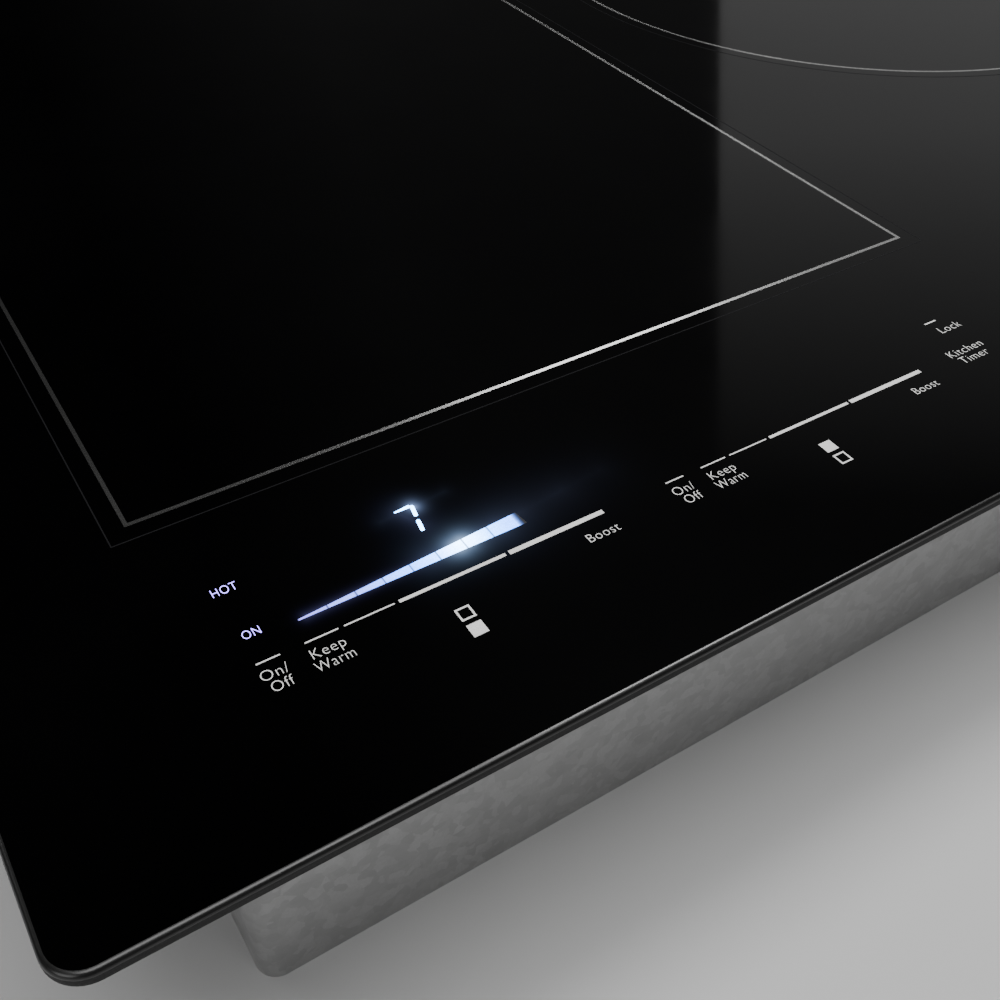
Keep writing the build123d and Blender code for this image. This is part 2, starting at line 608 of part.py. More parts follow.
def all_nodes():
    """Every node's name and its solids."""
    coils = coil_places()
    left = [coils["left_front"], coils["left_rear"]]
    right = [coils["right_front"], coils["right_rear"]]
    sliders = slider_origins()
    nodes = {
        "glass_top": glass_top(),
        "glass_adhesive": glass_adhesive(),
        "perimeter_gasket": perimeter_gasket(),
        "support_frame": support_frame(),
        "burner_box": burner_box(),
        "box_screws": box_screws(),
        "coil_rail_front": coil_rail(RAIL_YS[0]),
        "coil_rail_rear": coil_rail(RAIL_YS[1]),
        "coil_plate_left": coil_plate(ZONE_X, ZONE_W - 20, left),
        "coil_plate_centre": coil_plate(0, 290, [coils["centre"]]),
        "coil_plate_right": coil_plate(-ZONE_X, ZONE_W - 20, right),
        "plate_springs": [plate_spring(x, y) for x in SPRING_XS for y in RAIL_YS],
    }
    for name, (x, y, radius) in coils.items():
        former = coil_former(radius)
        nodes[f"coil_former_{name}"] = Pos(x, y, 0) * (other_side(former) if x > 0 else former)
        nodes[f"coil_winding_{name}"] = Pos(x, y, 0) * coil_winding(radius)
    spots = [(Pos(x, y, 0), radius) for x, y, radius in coils.values()]
    nodes["ferrite_bars"] = [at * bar for at, radius in spots for bar in ferrites(radius)]
    nodes["mica_sheets"] = [at * mica_sheet(radius) for at, radius in spots]
    nodes["temperature_sensors"] = [at * temperature_sensor() for at, _ in spots]
    nodes["sensor_boots"] = [at * sensor_boot() for at, _ in spots]
    halves = {
        "blower_housing": blower_housing(),
        "impeller": impeller(),
        "power_board": board(BOARD_X, BOARD_Y),
        "heatsink": heatsink(),
        "clamp_foot": clamp_foot(),
        "clamp_screw": clamp_screw(),
    }
    for name, shape in halves.items():
        nodes[f"{name}_left"] = shape
        nodes[f"{name}_right"] = other_side(shape)
    corners = board_corners(BOARD_X, BOARD_Y)
    corners += [(-x, y) for x, y in corners] + board_corners(FILTER_X, FILTER_Y)
    nodes |= {
        "blower_motors": both_sides([blower_motor()]),
        "air_ducts": both_sides([air_duct()]),
        "transistors": both_sides([transistor(y) for y in (-30, 12, 54, 96)]),
        "film_capacitors": both_sides([film_capacitor(BOARD_X[0] + 6, y) for y in (-36, -8, 20)])
        + [film_capacitor(FILTER_X[0] + 12, FILTER_Y[0] + 14, 32, 16, 26)],
        "chokes": both_sides([choke(BOARD_X[0] + 26, y) for y in (62, 84)])
        + [choke(FILTER_X[0] + 80, FILTER_Y[0] + 24)],
        "board_standoffs": [standoff(spot) for spot in corners],
        "filter_board": board(FILTER_X, FILTER_Y),
        "terminal_block": terminal_block(),
        "terminal_screws": terminal_screws(),
        "terminal_cover": terminal_cover(),
        "conduit_fitting": conduit_fitting(),
        "conduit_locknut": conduit_locknut(),
        "control_carrier": control_carrier(),
        "control_board": control_board(),
        "display_modules": [display_module(x) for x in sliders],
        "light_bars": [light_bar(x) for x in sliders],
        "indicator_lamps": [lamp for x in sliders for lamp in indicator_lamps(x)],
        "touch_pads": [pad for x in sliders for pad in touch_pads(x)] + key_pads(),
        "control_cable": control_cable(),
        "coil_leads": coil_leads(),
        "clamp_brackets": both_sides([clamp_bracket()]),
    }
    return nodes


def main():
    """Writes one STEP file per node."""
    os.makedirs("parts", exist_ok=True)
    for name, shape in all_nodes().items():
        export_step(Compound(shape) if isinstance(shape, list) else shape, f"parts/{name}.step")


main()
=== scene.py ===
import math

import bmesh
import bpy
from mathutils import Matrix, Vector
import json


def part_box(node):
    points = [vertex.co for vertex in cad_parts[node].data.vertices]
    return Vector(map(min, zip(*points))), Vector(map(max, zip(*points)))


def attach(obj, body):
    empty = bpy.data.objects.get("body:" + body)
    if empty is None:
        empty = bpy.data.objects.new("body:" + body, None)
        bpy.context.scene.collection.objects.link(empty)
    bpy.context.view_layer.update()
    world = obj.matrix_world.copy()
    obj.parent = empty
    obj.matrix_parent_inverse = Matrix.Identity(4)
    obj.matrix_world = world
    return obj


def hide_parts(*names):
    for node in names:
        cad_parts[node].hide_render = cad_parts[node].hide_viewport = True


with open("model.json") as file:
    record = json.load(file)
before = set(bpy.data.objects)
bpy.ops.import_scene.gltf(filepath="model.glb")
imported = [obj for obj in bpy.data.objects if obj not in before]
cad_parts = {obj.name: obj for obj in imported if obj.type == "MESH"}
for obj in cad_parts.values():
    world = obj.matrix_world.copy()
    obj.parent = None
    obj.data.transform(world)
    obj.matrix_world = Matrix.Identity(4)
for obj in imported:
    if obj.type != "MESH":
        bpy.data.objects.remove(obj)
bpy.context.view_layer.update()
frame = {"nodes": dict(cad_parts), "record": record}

MM = 0.001
CHASSIS = "chassis"

# Layout on the glass, in millimetres, from the CAD glass and its driving sizes
GLASS_LOW, GLASS_HIGH = (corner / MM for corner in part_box("glass_top"))
TOP, BOTTOM = GLASS_HIGH.z, GLASS_LOW.z
CORNER_R, EDGE_R = 8.0, 1.2
FLAT_START, FACE_INSET = 6.0, EDGE_R + 0.02      # insets of the flat face and of its outer ring
SUNK, PRINT_HIGH, LIT_HIGH = TOP - 0.01, TOP + 0.03, TOP + 0.012   # underside and tops of prints and lamps
ZONE_LEFT, ZONE_FRONT = GLASS_LOW.x + 45.0, GLASS_LOW.y + 95.0
ZONE_W, ZONE_L = 241.4, 405.0
ROUND_R = 140.0
LINE_W, HAIR_W, HAIR_GAP = 1.0, 0.3, 5.0           # zone frame, and the faint line outside it
SLIDER_Y = GLASS_LOW.y + 43.85
SLIDER_START, SLIDER_PITCH, SLIDER_L = 8.6, 102.5, 84.5
LIT = ZONE_LEFT + SLIDER_START          # left end of the slider that is on
BAR_START, BAR_STEP, BAR_LIT = 12.0, 6.74, 8
BAR_END = BAR_START + BAR_STEP * BAR_LIT
BAR_LEAK = 1.9                          # light that leaks into the next segment
CAP, ICON_LINE = 2.6, 0.46              # height of the printed capitals, stroke of icons and keys
KEY_X, KEY_L, KEY_RISE = 212.9, 4.2, 14.0
WHITE_TIN = (0.62, 0.62, 0.60, 1.0)


# ---------------------------------------------------------------- node helpers

def add_node(tree, kind, inputs=None, **settings):
    """A shader node with settings and with its inputs linked or given values."""
    made = tree.nodes.new("ShaderNode" + kind)
    for name, value in settings.items():
        setattr(made, name, value)
    for name, value in (inputs or {}).items():
        if isinstance(value, bpy.types.NodeSocket):
            tree.links.new(value, made.inputs[name])
        else:
            made.inputs[name].default_value = value
    return made


def maths(tree, operation, *values):
    """Output of a Math node."""
    return add_node(tree, "Math", dict(enumerate(values)), operation=operation).outputs[0]


def vector_maths(tree, operation, *values, output=0):
    """Output of a Vector Math node."""
    return add_node(tree, "VectorMath", dict(enumerate(values)), operation=operation).outputs[output]


def scaled(tree, vector, factor):
    """A vector or colour times a number."""
    return add_node(tree, "VectorMath", {0: vector, "Scale": factor}, operation="SCALE").outputs[0]


def grey(level):
    """A grey as a colour."""
    return (level, level, level, 1.0)


def places(tree, stretch=(1.0, 1.0, 1.0)):
    """Object coordinates, stretched along the axes."""
    source = add_node(tree, "TexCoord").outputs["Object"]
    return add_node(tree, "Mapping", {"Vector": source, "Scale": stretch}).outputs[0]


def noise(tree, where, scale, detail=3.0, roughness=0.5):
    """Noise value, about 0.2 to 0.8."""
    inputs = {"Vector": where, "Scale": scale, "Detail": detail, "Roughness": roughness}
    return add_node(tree, "TexNoise", inputs).outputs["Fac"]


def cells(tree, where, scale, feature="F1", output="Distance"):
    """Voronoi cells."""
    inputs = {"Vector": where, "Scale": scale}
    return add_node(tree, "TexVoronoi", inputs, feature=feature).outputs[output]


def ramp(tree, value, *stops):
    """Colour ramp through (position, colour) stops."""
    made = add_node(tree, "ValToRGB", {"Fac": value})
    elements = made.color_ramp.elements
    while len(elements) < len(stops):
        elements.new(0.5)
    for element, (position, colour) in zip(elements, stops):
        element.position, element.color = position, colour
    return made.outputs["Color"]


def spread(tree, value, low, high, start=0.3, end=0.7):
    """Maps a value from start..end to low..high."""
    inputs = {"Value": value, "From Min": start, "From Max": end, "To Min": low, "To Max": high}
    return add_node(tree, "MapRange", inputs).outputs["Result"]


def bump(tree, height, strength, distance):
    """Normal of a bumpy surface; distance is in millimetres."""
    inputs = {"Height": height, "Strength": strength, "Distance": distance * MM}
    return add_node(tree, "Bump", inputs).outputs["Normal"]


def new_material(name, **values):
    """A material, its node tree and its Principled shader with constant sockets set."""
    made = bpy.data.materials.new(name)
    made.use_nodes = True
    shader = made.node_tree.nodes["Principled BSDF"]
    for socket, value in values.items():
        shader.inputs[socket.replace("_", " ")].default_value = value
    return made, made.node_tree, shader


def connect(tree, shader, **sources):
    """Links outputs to the shader's sockets."""
    for socket, source in sources.items():
        tree.links.new(source, shader.inputs[socket.replace("_", " ")])


def tint(colour, factor):
    """A colour made lighter or darker."""
    return (*[min(1.0, channel * factor) for channel in colour[:3]], 1.0)


# ---------------------------------------------------------------- materials

def moulded(name, colour, rough, grain=1400.0, depth=0.03, gloss=0.5, flow=0.12):
    """Moulded plastic, rubber or ceramic: fine grain, slow colour drift."""
    made, tree, shader = new_material(name, Specular_IOR_Level=gloss)
    where = places(tree)
    fine, slow = noise(tree, where, grain, 4.0, 0.6), noise(tree, where, 35.0, 2.0)
    drift = ramp(tree, slow, (0.3, tint(colour, 1 - flow)), (0.7, tint(colour, 1 + flow)))
    connect(tree, shader, Base_Color=drift, Roughness=spread(tree, fine, rough - 0.06, rough + 0.08),
            Normal=bump(tree, fine, 0.5, depth))
    return made


def rolled(name, colour, rough, stretch, depth=0.01):
    """Brushed or rolled metal with streaks along one axis."""
    made, tree, shader = new_material(name, Metallic=1.0)
    where = places(tree, stretch)
    streak, slow = noise(tree, where, 1.0, 5.0, 0.65), noise(tree, places(tree), 18.0, 3.0)
    shade = ramp(tree, streak, (0.25, tint(colour, 0.82)), (0.75, tint(colour, 1.1)))
    smear = spread(tree, slow, rough - 0.03, rough + 0.06)
    connect(tree, shader, Base_Color=shade, Roughness=smear, Normal=bump(tree, streak, 0.4, depth))
    return made


def zinc_sheet():
    """Hot-dip zinc coating: feathery spangles that differ a little in grey and gloss."""
    made, tree, shader = new_material("zinc_sheet", Metallic=1.0)
    where, size = places(tree), 330.0
    warp = add_node(tree, "TexNoise", {"Vector": where, "Scale": 160.0, "Detail": 4.0}).outputs["Color"]
    shift = vector_maths(tree, "MULTIPLY_ADD", warp, (0.005, 0.005, 0.005), where)
    spangle = cells(tree, shift, size, output="Color")
    level = add_node(tree, "SeparateColor", {"Color": spangle}).outputs["Red"]
    grain = vector_maths(tree, "MULTIPLY_ADD", spangle, (1500.0, 1500.0, 1500.0), (120.0, 120.0, 120.0))
    feather = noise(tree, vector_maths(tree, "MULTIPLY", where, grain), 1.0, 4.0, 0.6)
    seam = spread(tree, cells(tree, shift, size, "DISTANCE_TO_EDGE"), 0.0, 0.2, 0.0, 0.05)
    tone = maths(tree, "MULTIPLY", maths(tree, "ADD", level, feather), 0.6)
    shade = ramp(tree, tone, (0.15, grey(0.42)), (0.6, grey(0.48)), (1.0, grey(0.55)))
    relief = maths(tree, "ADD", maths(tree, "MULTIPLY", feather, 0.5), seam)
    connect(tree, shader, Base_Color=shade, Roughness=spread(tree, tone, 0.36, 0.52, 0.1, 1.0),
            Normal=bump(tree, relief, 0.35, 0.02))
    return made


def circuit_board():
    """Green solder mask over copper tracks, with tinned pads."""
    made, tree, shader = new_material("circuit_board", Roughness=0.38, Coat_Weight=0.3, Coat_Roughness=0.2)
    flat = places(tree, (1.0, 1.0, 0.05))
    line = spread(tree, cells(tree, flat, 210.0, "DISTANCE_TO_EDGE"), 1.0, 0.0, 0.05, 0.09)
    pad = spread(tree, cells(tree, flat, 210.0), 1.0, 0.0, 0.10, 0.13)
    fine = noise(tree, places(tree), 2500.0)
    mask = ramp(tree, line, (0.0, (0.012, 0.085, 0.035, 1)), (1.0, (0.03, 0.19, 0.07, 1)))
    colour = add_node(tree, "Mix", {0: pad, 6: mask, 7: WHITE_TIN}, data_type="RGBA").outputs[2]
    height = maths(tree, "ADD", line, maths(tree, "MULTIPLY", fine, 0.1))
    connect(tree, shader, Base_Color=colour, Normal=bump(tree, height, 0.5, 0.035))
    return made


def wound_copper():
    """Enamelled litz wire: strands that twist round each turn."""
    made, tree, shader = new_material("wound_copper", Metallic=0.85, Coat_Weight=0.4, Coat_Roughness=0.15)
    where = places(tree)
    inputs = {"Vector": where, "Scale": 420.0, "Distortion": 1.5, "Detail": 2.0}
    strand = add_node(tree, "TexWave", inputs, bands_direction="DIAGONAL").outputs["Fac"]
    slow = noise(tree, where, 60.0)
    shade = ramp(tree, strand, (0.0, (0.22, 0.075, 0.03, 1)), (0.5, (0.62, 0.26, 0.12, 1)),
                 (1.0, (0.80, 0.40, 0.20, 1)))
    connect(tree, shader, Base_Color=shade, Roughness=spread(tree, slow, 0.25, 0.45),
            Normal=bump(tree, strand, 0.7, 0.15))
    return made


def mica():
    """Pressed mica: pale flakes in a tan binder."""
    made, tree, shader = new_material("mica", Specular_IOR_Level=0.6)
    where = places(tree)
    flakes = cells(tree, where, 330.0, output="Color")
    flake = add_node(tree, "SeparateColor", {"Color": flakes}).outputs["Green"]
    shade = ramp(tree, flake, (0.0, (0.33, 0.25, 0.15, 1)), (0.6, (0.55, 0.46, 0.31, 1)),
                 (1.0, (0.78, 0.72, 0.58, 1)))
    connect(tree, shader, Base_Color=shade, Roughness=spread(tree, flake, 0.6, 0.3, 0, 1),
            Normal=bump(tree, flake, 0.4, 0.03))
    return made


def foam():
    """Closed-cell foam."""
    made, tree, shader = new_material("foam", Specular_IOR_Level=0.25)
    where = places(tree)
    bubble = cells(tree, where, 1500.0)
    shade = ramp(tree, bubble, (0.0, grey(0.015)), (0.8, grey(0.06)))
    connect(tree, shader, Base_Color=shade, Roughness=spread(tree, bubble, 0.95, 0.75, 0, 1),
            Normal=bump(tree, bubble, 0.8, 0.2))
    return made


def striped(name, colour, axis, scale, rough, depth=0.2):
    """Ribbon cable or braid: parallel ridges across one axis."""
    made, tree, shader = new_material(name, Specular_IOR_Level=0.4)
    inputs = {"Vector": places(tree), "Scale": scale, "Detail": 1.0, "Distortion": 0.3}
    ridge = add_node(tree, "TexWave", inputs, bands_direction=axis).outputs["Fac"]
    shade = ramp(tree, ridge, (0.1, tint(colour, 0.55)), (0.6, tint(colour, 1.0)), (1.0, tint(colour, 1.2)))
    connect(tree, shader, Base_Color=shade, Roughness=spread(tree, ridge, rough + 0.1, rough - 0.1, 0, 1),
            Normal=bump(tree, ridge, 0.7, depth))
    return made


def light_guide():
    """Diffusing acrylic, unlit."""
    made, tree, shader = new_material("light_guide", Transmission_Weight=0.35, IOR=1.49,
                                      Subsurface_Weight=0.3)
    fine = noise(tree, places(tree), 1800.0)
    shade = ramp(tree, fine, (0.3, (0.78, 0.82, 0.88, 1)), (0.7, (0.90, 0.93, 0.97, 1)))
    connect(tree, shader, Base_Color=shade, Roughness=spread(tree, fine, 0.2, 0.4),
            Normal=bump(tree, fine, 0.3, 0.02))
    return made


def lit_place(x, y):
    """A point from its offset to the left end of the lit slider."""
    return (LIT + x, SLIDER_Y + y)


def capsule_glow(tree, where, start, end, reach, power, colour):
    """Light scattered in the glass round a line from start to end, as a colour."""
    a, b = (Vector((*lit_place(*point), TOP)) * MM for point in (start, end))
    length = (b - a).length
    along = (b - a) / length
    offset = vector_maths(tree, "SUBTRACT", where, tuple(a))
    share = vector_maths(tree, "DOT_PRODUCT", offset, tuple(along), output="Value")
    share = maths(tree, "MINIMUM", maths(tree, "MAXIMUM", share, 0.0), length)
    aside = vector_maths(tree, "SUBTRACT", offset, scaled(tree, tuple(along), share))
    ratio = maths(tree, "DIVIDE", vector_maths(tree, "LENGTH", aside, output="Value"), reach * MM)
    fall = maths(tree, "POWER", math.e, maths(tree, "MULTIPLY", ratio, -1.0))
    return scaled(tree, colour, maths(tree, "MULTIPLY", fall, power))


# Start, end, reach, power and colour of each glow, from the left end of the lit slider
STREAK = (0.45, 0.55, 1.0)
GLOWS = [
    ((14.0, 6.4), (62.0, 8.0), 0.8, 0.15, (0.35, 0.36, 1.0)),       # along the bar
    ((44.0, 7.6), (61.0, 7.8), 3.0, 0.10, (0.36, 0.52, 1.0)),
    ((51.0, 7.6), (52.2, 8.0), 1.45, 1.9, (0.42, 0.64, 1.0)),       # hot spot
    ((60.0, 8.6), (68.0, 9.4), 4.2, 0.020, STREAK),                 # streak that fades to the right
    ((66.0, 9.2), (80.0, 10.6), 4.6, 0.012, STREAK),
    ((78.0, 10.4), (92.0, 11.8), 5.0, 0.006, STREAK),
    ((48.3, 23.8), (48.6, 23.3), 1.0, 0.85, (0.40, 0.56, 1.0)),     # round the digit
    ((44.5, 23.6), (47.4, 17.0), 2.3, 0.05, (0.36, 0.44, 1.0)),
    ((40.0, 22.9), (57.0, 24.2), 1.6, 0.012, (0.40, 0.56, 1.0)),
]


def glass_face():
    """Polished black glass-ceramic, with scattered light round the lit controls."""
    made, tree, shader = new_material("glass_face", IOR=1.52, Specular_IOR_Level=0.5, Emission_Strength=1.0)
    where = add_node(tree, "TexCoord").outputs["Object"]
    smear, fine = noise(tree, where, 14.0, 3.0, 0.6), noise(tree, where, 1300.0, 2.0)
    shade = ramp(tree, smear, (0.3, (0.0005, 0.0005, 0.0006, 1)), (0.7, (0.0009, 0.0009, 0.0010, 1)))
    total = capsule_glow(tree, where, *GLOWS[0])
    for glow in GLOWS[1:]:
        total = vector_maths(tree, "ADD", total, capsule_glow(tree, where, *glow))
    connect(tree, shader, Base_Color=shade, Roughness=spread(tree, smear, 0.05, 0.085), Emission_Color=total,
            Normal=bump(tree, fine, 0.02, 0.004))
    return made


def glass_edge(name, rough, gloss, shades):
    """Ground edge of the black glass, smoothed on its upper round and matt below."""
    made, tree, shader = new_material(name, IOR=1.52, Specular_IOR_Level=gloss)
    where = places(tree)
    fine = noise(tree, where, 2600.0, 4.0, 0.7)
    streak = noise(tree, places(tree, (30.0, 30.0, 1600.0)), 1.0, 3.0)
    shade = ramp(tree, fine, (0.3, grey(shades[0])), (0.7, grey(shades[1])))
    connect(tree, shader, Base_Color=shade, Roughness=spread(tree, streak, rough - 0.05, rough + 0.08),
            Normal=bump(tree, maths(tree, "ADD", fine, streak), 0.25, 0.02))
    return made


def glass_back():
    """Black heat-proof paint under the glass."""
    return moulded("glass_back", (0.012, 0.012, 0.013), 0.55, 900.0, 0.03, 0.3)


def fired_print(name, colour, rough, metallic=0.0, relief=0.25, uneven=0.05, gloss=0.5):
    """Ceramic ink fired onto the glass: screen dots and slow changes in cover."""
    made, tree, shader = new_material(name, Metallic=metallic, Specular_IOR_Level=gloss)
    where = places(tree)
    dots, slow = cells(tree, where, 4200.0), noise(tree, where, 160.0, 3.0)
    cover = maths(tree, "ADD", maths(tree, "MULTIPLY", dots, 0.35), slow)
    shade = ramp(tree, cover, (0.35, tint(colour, 1.06)), (1.0, tint(colour, 0.84)))
    connect(tree, shader, Base_Color=shade, Roughness=spread(tree, slow, rough - uneven, rough + uneven),
            Normal=bump(tree, dots, relief, 0.01))
    return made


def lamp(name, stops, strength, lines=0.0):
    """Lit window: colour by distance from the hottest diode, a dot screen and, for the bar, dividers."""
    made, tree, shader = new_material(name, Base_Color=grey(0.02), Roughness=0.4, Emission_Strength=strength)
    where = add_node(tree, "TexCoord").outputs["Object"]
    hot = Vector((*lit_place(52.0, 8.6), TOP)) * MM
    distance = vector_maths(tree, "DISTANCE", where, tuple(hot), output="Value")
    colour = ramp(tree, spread(tree, distance, 0.0, 1.0, 0.0006, 0.040), *stops)
    dots = spread(tree, cells(tree, where, 3200.0), 1.0, 0.72, 0.15, 0.6)
    level = dots
    if lines:
        x = add_node(tree, "SeparateXYZ", {"Vector": where}).outputs["X"]
        step = maths(tree, "DIVIDE", maths(tree, "SUBTRACT", x, (LIT + BAR_START) * MM), BAR_STEP * MM)
        line = spread(tree, maths(tree, "PINGPONG", step, 0.5), 1.0 - lines, 1.0, 0.010, 0.045)
        line = maths(tree, "MAXIMUM", line, maths(tree, "GREATER_THAN", x, (LIT + BAR_END - 1.0) * MM))
        past = spread(tree, x, 1.0, 0.0, (LIT + BAR_END - 0.2) * MM, (LIT + BAR_END + BAR_LEAK) * MM)
        level = maths(tree, "MULTIPLY", maths(tree, "MULTIPLY", dots, line), maths(tree, "POWER", past, 4.0))
    connect(tree, shader, Emission_Color=scaled(tree, colour, level))
    return made


def zinc_plate():
    """Bright zinc plating of screws."""
    return rolled("zinc_plate", (0.68, 0.67, 0.64), 0.28, (300.0, 300.0, 900.0), 0.008)


MATERIALS = {
    "silicone": moulded("silicone", (0.035, 0.035, 0.037), 0.42, 300.0, 0.05),
    "foam": foam(),
    "zinc_steel": zinc_sheet(),
    "screw_steel": zinc_plate(),
    "aluminium_plate": rolled("aluminium_plate", (0.74, 0.75, 0.77), 0.34, (6.0, 900.0, 6.0)),
    "spring_steel": rolled("spring_steel", (0.36, 0.37, 0.40), 0.3, (900.0, 20.0, 20.0)),
    "moulded_plastic": moulded("moulded_plastic", (0.045, 0.043, 0.041), 0.5, 1100.0, 0.04),
    "litz_copper": wound_copper(),
    "ferrite": moulded("ferrite", (0.05, 0.05, 0.055), 0.62, 1900.0, 0.06, 0.4),
    "mica": mica(),
    "ceramic_white": moulded("ceramic_white", (0.78, 0.77, 0.72), 0.6, 1500.0, 0.03),
    "black_plastic": moulded("black_plastic", (0.018, 0.018, 0.019), 0.48, 1300.0, 0.05),
    "circuit_board": circuit_board(),
    "motor_steel": rolled("motor_steel", (0.5, 0.5, 0.52), 0.3, (20.0, 20.0, 1200.0)),
    "capacitor_case": moulded("capacitor_case", (0.22, 0.24, 0.27), 0.3, 700.0, 0.03),
    "white_plastic": moulded("white_plastic", (0.76, 0.76, 0.73), 0.45, 1000.0, 0.03),
    "terminal_brass": rolled("terminal_brass", (0.78, 0.58, 0.26), 0.3, (500.0, 500.0, 60.0)),
    "cast_zinc": moulded("cast_zinc", (0.42, 0.42, 0.44), 0.42, 500.0, 0.08, 0.5),
    "light_guide": light_guide(),
    "cable_grey": striped("cable_grey", (0.30, 0.31, 0.33), "X", 260.0, 0.5),
    "cable_heatproof": striped("cable_heatproof", (0.66, 0.64, 0.56), "DIAGONAL", 500.0, 0.75),
    "glass_ceramic": glass_face(),
}
GLASS_ROUND = glass_edge("glass_round", 0.30, 0.5, (0.004, 0.009))
GLASS_SIDE, GLASS_BACK = glass_edge("glass_side", 0.6, 0.12, (0.012, 0.032)), glass_back()
INK = fired_print("ink_white", (0.80, 0.795, 0.78), 0.55)
SILVER_INK = fired_print("ink_silver", (0.80, 0.80, 0.79), 0.24, 1.0, 0.004, 0.01)
HAIR_INK = fired_print("ink_hairline", (0.006, 0.006, 0.007), 0.6, gloss=0.15)
BAR_COLOURS = [(0.0, (0.35, 0.60, 1.0, 1)), (0.16, (0.08, 0.24, 0.66, 1)), (0.3, (0.05, 0.15, 0.52, 1)),
               (0.6, (0.05, 0.08, 0.28, 1)), (1.0, (0.05, 0.048, 0.18, 1))]
LAMP_BAR = lamp("lamp_bar", BAR_COLOURS, 20.0, 0.82)
LAMP_DIGIT = lamp("lamp_digit", [(0.0, (0.2, 0.5, 1.0, 1)), (0.7, (0.14, 0.42, 1.0, 1))], 26.0)
LAMP_WORD = lamp("lamp_word", [(0.0, (0.30, 0.25, 1.0, 1)), (1.0, (0.32, 0.24, 1.0, 1))], 9.0)


def finish_cad_nodes():
    """Gives every CAD node the material of its slot."""
    for row in frame["record"]["subparts"]:
        mesh = frame["nodes"][row["node"]].data
        mesh.materials.clear()
        mesh.materials.append(MATERIALS[row["material_slot"]])


# ---------------------------------------------------------------- mesh helpers

def piece(name, mesh, materials, body=CHASSIS):
    """An object from a bmesh, riding on a body."""
    data = bpy.data.meshes.new(name)
    mesh.to_mesh(data)
    mesh.free()
    for material in materials:
        data.materials.append(material)
    made = bpy.data.objects.new(name, data)
    bpy.context.scene.collection.objects.link(made)
    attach(made, body)
    return made


def loop_of(mesh, outline, z):
    """Vertices of an outline at a height, both in millimetres."""
    return [mesh.verts.new((x * MM, y * MM, z * MM)) for x, y in outline]


def wall(mesh, low, high):
    """Faces between two closed loops of vertices; the side is on the right of travel."""
    count = len(low)
    quads = [(low[i], low[(i + 1) % count], high[(i + 1) % count], high[i]) for i in range(count)]
    return [mesh.faces.new(quad) for quad in quads]


def prism(mesh, outline, z0, z1):
    """Closed prism over an outline that runs anticlockwise."""
    low, high = loop_of(mesh, outline, z0), loop_of(mesh, outline, z1)
    mesh.faces.new(list(reversed(low)))
    mesh.faces.new(high)
    wall(mesh, low, high)


def band(mesh, outer, inner, z0, z1):
    """Closed flat ring between two anticlockwise outlines of equal count."""
    out_low, out_high = loop_of(mesh, outer, z0), loop_of(mesh, outer, z1)
    in_low, in_high = loop_of(mesh, inner, z0), loop_of(mesh, inner, z1)
    wall(mesh, out_low, out_high)
    wall(mesh, in_high, in_low)
    wall(mesh, out_high, in_high)
    wall(mesh, in_low, out_low)


def rectangle(x0, x1, y0, y1):
    """Anticlockwise corners."""
    return [(x0, y0), (x1, y0), (x1, y1), (x0, y1)]


def circle(x, y, radius, count=160):
    """Anticlockwise points on a circle."""
    angles = [2 * math.pi * i / count for i in range(count)]
    return [(x + radius * math.cos(a), y + radius * math.sin(a)) for a in angles]


def rounded(x0, x1, y0, y1, radius, steps=12):
    """Anticlockwise outline of a rectangle with round corners."""
    points = []
    centres = [(x1 - radius, y0 + radius, -90), (x1 - radius, y1 - radius, 0),
               (x0 + radius, y1 - radius, 90), (x0 + radius, y0 + radius, 180)]
    for x, y, start in centres:
        for i in range(steps + 1):
            a = math.radians(start + 90 * i / steps)
            points.append((x + radius * math.cos(a), y + radius * math.sin(a)))
    return points


def words_into(mesh, text, x, baseline, cap=CAP, width=None, high=PRINT_HIGH):
    """Raised lettering in the built-in typeface, with a cap height and, if given, a total width."""
    solids = []
    for sample in ("H", text):
        curve = bpy.data.curves.new("lettering", "FONT")
        curve.body, curve.extrude, curve.resolution_u = sample, 0.5, 4
        curve.offset, curve.space_character = -0.016, 1.07
        holder = bpy.data.objects.new("lettering", curve)
        solids.append(bpy.data.meshes.new_from_object(holder))
        bpy.data.objects.remove(holder)
    height = max(v.co.y for v in solids[0].vertices)
    low = min(v.co.x for v in solids[1].vertices)
    span = max(v.co.x for v in solids[1].vertices) - low
    grow = cap / height
    stretch = width / span if width else grow
    for vertex in solids[1].vertices:
        vertex.co.x = (x + (vertex.co.x - low) * stretch) * MM
        vertex.co.y = (baseline + vertex.co.y * grow) * MM
        vertex.co.z = (SUNK if vertex.co.z < 0 else high) * MM
    mesh.from_mesh(solids[1])
    for solid in solids:
        bpy.data.meshes.remove(solid)
    bmesh.ops.remove_doubles(mesh, verts=mesh.verts, dist=1e-7)


# ---------------------------------------------------------------- glass

EDGE_STEPS = 10


def edge_profile():
    """(inset, height) from the face down the pane's edge to the back."""
    profile = [(FLAT_START, TOP), (FACE_INSET, TOP)]
    for i in range(EDGE_STEPS + 1):
        a = math.radians(90 * i / EDGE_STEPS)
        profile.append((EDGE_R * (1 - math.sin(a)), TOP - EDGE_R * (1 - math.cos(a))))
    for i in range(EDGE_STEPS + 1):
        a = math.radians(90 * i / EDGE_STEPS)
        profile.append((EDGE_R * (1 - math.cos(a)), BOTTOM + EDGE_R * (1 - math.sin(a))))
    return profile + [(FACE_INSET, BOTTOM), (FLAT_START, BOTTOM)]


def edge_material(row, last):
    """Material of a row of faces: 0 polished face, 1 upper round, 2 ground side, 3 back."""
    if row == last:
        return 3
    return 0 if row < 2 else 1 if row < EDGE_STEPS + 2 else 2


